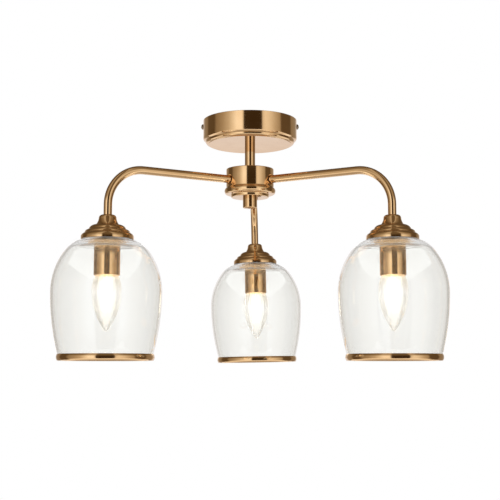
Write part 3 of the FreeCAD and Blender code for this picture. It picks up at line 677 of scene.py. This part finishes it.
def glass_skin(inset, level):
    """From the rim up over the belly and the shoulder to the flat top at this level, this
    far inside the outer face."""
    rim = (GLASS_RIM - inset, GLASS_LOW)
    belly = (GLASS_BELLY - inset, GLASS_TOP - BELLY_DROP)
    # The shoulder slopes, so its inset is shared between across and down.
    shoulder = (GLASS_SHOULDER - inset * 0.8, GLASS_TOP - SHOULDER_DROP - inset * 0.6)
    belly_middle, _ = arc_between(belly, -math.pi / 2, rim)
    shoulder_middle, heading = arc_between(belly, math.pi / 2, shoulder)
    steep = math.pi - heading
    radius = (level - shoulder[1]) / (1 - math.cos(steep))
    top = (shoulder[0] - radius * math.sin(steep), level)
    top_middle, _ = arc_between(shoulder, heading, top)
    return traced(rim, (belly_middle, belly), (shoulder_middle, shoulder), (top_middle, top),
                  turn=3.0)


def glass_bell():
    """A blown bell with a thick flat top round its hole and a fire-polished rim."""
    outer = glass_skin(0.0, GLASS_TOP)
    inner = glass_skin(GLASS_WALL, GLASS_CEILING)
    loop = outer + [(GLASS_HOLE, GLASS_TOP), (GLASS_HOLE, GLASS_CEILING)] + inner[::-1]
    return turned("glass_shade_blown", loop + [outer[0]], ARM_REACH, steps=160, edge=0.6)


def rim_ring():
    """A rolled channel with a rounded face, over the rim of the glass."""
    low = RING_LOW
    high = RING_LOW + RING_HEIGHT
    face = RING_RADIUS
    inner = GLASS_RIM - GLASS_WALL - RING_WALL - RING_FIT
    points = traced(
        (face - 1.1, high), (face - 0.8, high),
        ((face + 0.2, low + 4.4), (face - 0.9, low + 0.3)),
        (face - 1.4, low), (inner + 0.5, low), (inner, low + 0.5),
        (inner, low + 5.5), (inner + RING_WALL, low + 5.5), (inner + RING_WALL, low + RING_WALL),
        (face - 1.4, low + RING_WALL), (face - 1.1, high))
    return turned("rim_ring_rolled", points, ARM_REACH, steps=192)


def holder_sleeve():
    """The threaded sleeve that clamps the glass, with its sharp edges broken."""
    thread_low = GLASS_CEILING - THREAD_HEIGHT
    points = [
        (THREAD_RADIUS, GLASS_CEILING), (SLEEVE_RADIUS, GLASS_CEILING),
        (SLEEVE_RADIUS, SLEEVE_LOW), (SLEEVE_BORE, SLEEVE_LOW), (SLEEVE_BORE, thread_low),
        (THREAD_RADIUS, thread_low), (THREAD_RADIUS, GLASS_CEILING)]
    return turned("holder_sleeve_turned", points, ARM_REACH, steps=96, edge=0.25)


def lamp_skin(inset):
    """From the neck in the lamp's cap, out to the widest and down to the tip."""
    neck = (6.4 - inset, SKIRT_TOP - 1.0)
    waist = (7.9 - inset, SKIRT_LOW - 0.1)
    mouth = (13.7 - inset, SLEEVE_LOW)
    belly = (LAMP_RADIUS - inset, LAMP_TOP - 50.0)
    tip = (2.2 - inset / 2, LAMP_TIP + 1.2 + inset / 2)
    belly_middle, heading = arc_between(belly, math.pi / 2, mouth)
    waist_middle, _ = arc_between(mouth, heading, waist)
    taper_middle, _ = arc_between(belly, -math.pi / 2, tip)
    low = LAMP_TIP + inset
    rise = tip[1] - low
    ball = (tip[0] ** 2 + rise ** 2) / (2 * rise)
    half = math.atan2(tip[0], ball - rise) / 2
    crown = ((ball * math.sin(half), low + ball * (1 - math.cos(half))), (0.0, low))
    return traced(neck, waist, (waist_middle, mouth), (belly_middle, belly), (taper_middle, tip),
                  crown, turn=4.0)


def lamp_envelope():
    """The lamp's blown glass, with an even wall."""
    outer = lamp_skin(0.0)
    inner = lamp_skin(LAMP_WALL)
    loop = outer + inner[::-1] + [outer[0]]
    return turned("bulb_glass_blown", loop, ARM_REACH, steps=96)


finished(ceiling_rose(), "ceiling_rose", TURNED_BRASS)
finished(stem(), "stem_tube", DRAWN_BRASS)
finished(hub_drum(), "hub_body", TURNED_BRASS)
finished(hub_foot(), "hub_base", TURNED_BRASS)
finished(finial(), "hub_finial", TURNED_BRASS)
hung(arm_tube(), "arm_tube", DRAWN_BRASS)
hung(neck_collar(), "neck_collar", TURNED_BRASS)
hung(shade_cap(), "shade_cap", TURNED_BRASS)
hung(glass_bell(), "glass_shade", SHADE_GLASS)
hung(rim_ring(), "rim_ring", TURNED_BRASS)
hung(holder_sleeve(), "holder_sleeve", TURNED_BRASS)
hung(lamp_envelope(), "bulb_glass", LAMP_GLASS, "{arm}_bulb")

# The other pieces keep their solids and get their real finish.
FINISHES = {
    "mounting_strap": ZINC, "rose_screws": DARK_STEEL, "terminal_block": WHITE_NYLON,
    "terminal_barrels": CONTACT_BRASS, "terminal_screws": ZINC, "block_screw": ZINC,
    "earth_screw": ZINC, "stem_rod": ZINC, "lock_nuts": ZINC, "shakeproof_washers": ZINC,
    "shade_gasket": CLEAR_SILICONE, "holder_dome": HOLDER_PLASTIC, "holder_body": HOLDER_PLASTIC,
    "contact_shell": CONTACT_BRASS, "centre_contact": CONTACT_BRASS, "bulb_contact": SOLDER,
    "bulb_cap": LAMP_CAP_METAL, "filament": FILAMENT,
}
for name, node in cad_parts.items():
    kind = name.split("_", 1)[1] if name.split("_")[0] in ARMS else name
    if kind in FINISHES:
        node.data.materials.clear()
        node.data.materials.append(FINISHES[kind])


# The studio

def studio():
    """Large soft lights at the left and right front, a dark gap for the camera between them,
    and a white backdrop."""
    world = bpy.data.worlds.new("soft_studio")
    bpy.context.scene.world = world
    world.use_nodes = True
    tree = world.node_tree
    tree.nodes.clear()
    out = add(tree, "ShaderNodeOutputWorld")
    way = add(tree, "ShaderNodeSeparateXYZ",
              {"Vector": add(tree, "ShaderNodeTexCoord").outputs["Generated"]}).outputs
    ahead = add(tree, "ShaderNodeMath", {0: way["Y"], 1: -1.0}, operation="MULTIPLY").outputs[0]
    angle = add(tree, "ShaderNodeMath", {0: way["X"], 1: ahead}, operation="ARCTAN2").outputs[0]
    turn = add(tree, "ShaderNodeMapRange", {
        "Value": angle, "From Min": -math.pi, "From Max": math.pi}).outputs["Result"]
    backdrop = linear("ede6e3")
    # The backdrop reaches 20 degrees to each side of straight behind.
    behind = 20 / 360

    def lights(levels, ends):
        """The light round the horizon, from pairs of an angle to the right of the camera, in
        degrees, and the level there, and from the colour behind."""
        marks = [(0.0, ends), (behind, ends), (1 - behind, ends), (1.0, ends)]
        marks += [(angle / 360 + 0.5, warm(level)) for angle, level in levels]
        return stops(add(tree, "ShaderNodeValToRGB", {"Fac": turn}), *marks).outputs["Color"]

    level_light = lights([
        (-150, 0.34), (-128, 0.28), (-122, 0.13), (-97, 0.12), (-90, 0.3), (-70, 0.44),
        (-53, 0.64), (-42, 0.92), (-32, 1.2), (-20, 1.2), (-16.5, 0.9), (-14.5, 0.05),
        (28.5, 0.05), (30.5, 0.8), (38, 1.0), (48, 0.9), (65, 0.6), (78, 0.42), (82, 0.13),
        (115, 0.12), (121, 0.3), (150, 0.34)], backdrop)
    high_light = lights([
        (-100, 0.13), (-70, 0.25), (-48, 0.34), (-38, 0.55), (-18, 0.55), (-14, 0.17),
        (28, 0.17), (31, 0.5), (42, 0.5), (52, 0.32), (70, 0.25), (100, 0.13)], warm(0.13))
    low_light = lights([
        (-97, 0.14), (-86, 0.9), (-17, 1.0), (-14, 0.07), (28, 0.07), (31, 1.0), (86, 0.9),
        (97, 0.14)], warm(0.14))
    # The level lights fade into the high and the low ones at these sines of the elevation.
    rise = add(tree, "ShaderNodeMapRange", {
        "Value": way["Z"], "From Min": 0.27, "From Max": 0.42}).outputs["Result"]
    drop = add(tree, "ShaderNodeMapRange", {
        "Value": way["Z"], "From Min": -0.3, "From Max": -0.5}).outputs["Result"]
    lower = add(tree, "ShaderNodeMix", {0: drop, 6: level_light, 7: low_light},
                data_type="RGBA").outputs[2]
    glow = add(tree, "ShaderNodeMix", {0: rise, 6: lower, 7: high_light},
               data_type="RGBA").outputs[2]
    light = add(tree, "ShaderNodeBackground", {"Color": glow, "Strength": 1.0})
    white = add(tree, "ShaderNodeBackground", {"Color": grey(1.0), "Strength": 1.0})

    # The camera sees plain white, also through glass that its rays cross without a bounce or
    # leave after two. Rays that bounce once in a wall see part of it, which keeps edges pale.
    path = add(tree, "ShaderNodeLightPath").outputs
    bounces = add(tree, "ShaderNodeMath", {0: path["Glossy Depth"], 1: path["Diffuse Depth"]},
                  operation="ADD").outputs[0]
    walls = add(tree, "ShaderNodeMath", {0: bounces, 1: path["Transmission Depth"]},
                operation="MULTIPLY").outputs[0]
    direct = add(tree, "ShaderNodeMapRange", {
        "Value": walls, "From Max": 4.0, "To Min": 1.0, "To Max": 0.0}).outputs["Result"]
    through = add(tree, "ShaderNodeMath", {0: direct, 1: path["Is Transmission Ray"]},
                  operation="MULTIPLY").outputs[0]
    deep = add(tree, "ShaderNodeMath", {0: bounces, 1: 1.5}, operation="GREATER_THAN").outputs[0]
    trapped = add(tree, "ShaderNodeMath", {0: deep, 1: path["Transmission Depth"]},
                  operation="MULTIPLY", use_clamp=True).outputs[0]
    clear = add(tree, "ShaderNodeMath", {0: through, 1: trapped}, operation="MAXIMUM").outputs[0]
    seen = add(tree, "ShaderNodeMath", {0: clear, 1: path["Is Camera Ray"]},
               operation="MAXIMUM").outputs[0]
    mixed = add(tree, "ShaderNodeMixShader", {
        0: seen, 1: light.outputs[0], 2: white.outputs[0]})
    tree.links.new(mixed.outputs[0], out.inputs["Surface"])


def floor():
    """A pale painted floor far below, which carries the soft shadow. Its glow is painted light: an
    emission, dim under the object and brighter towards its edge, where it fades into the white
    backdrop."""
    shade_reach = 1.3
    bright_reach = 2.8
    bpy.ops.object.select_all(action="DESELECT")
    bpy.ops.mesh.primitive_plane_add(size=FLOOR_SIDE, location=(0, 0, FLOOR_HEIGHT))
    plane = bpy.context.object
    plane.name = "studio_floor"
    material, tree, out = new_material("pale_floor_painted_glow")
    place = add(tree, "ShaderNodeTexCoord").outputs["Object"]
    reach = add(tree, "ShaderNodeVectorMath", {0: place}, operation="LENGTH").outputs["Value"]
    # The floor's emission is painted light: a painted shade under the object, brightening towards
    # the edge.
    painted_light_level = add(tree, "ShaderNodeMapRange", {
        "Value": reach, "From Min": shade_reach, "From Max": bright_reach, "To Min": 0.3,
        "To Max": 1.0}).outputs["Result"]
    paint = add(tree, "ShaderNodeBsdfPrincipled", {
        "Base Color": linear("f2f1ee"), "Roughness": 0.9, "Emission Color": linear("ecf1f8"),
        "Emission Strength": painted_light_level})
    tree.links.new(paint.outputs[0], out.inputs["Surface"])
    plane.data.materials.append(material)


def camera():
    """The camera at the photograph's place and tilt."""
    data = bpy.data.cameras.new("studio_camera")
    data.lens = LENS
    data.sensor_width = SENSOR
    data.clip_start = 0.05
    data.clip_end = 100.0
    eye = bpy.data.objects.new("studio_camera", data)
    bpy.context.scene.collection.objects.link(eye)
    eye.location = CAMERA_PLACE
    eye.rotation_euler = (math.radians(CAMERA_TILT), 0.0, 0.0)
    bpy.context.scene.camera = eye
    bpy.context.scene.view_settings.view_transform = "Standard"


studio()
floor()
camera()
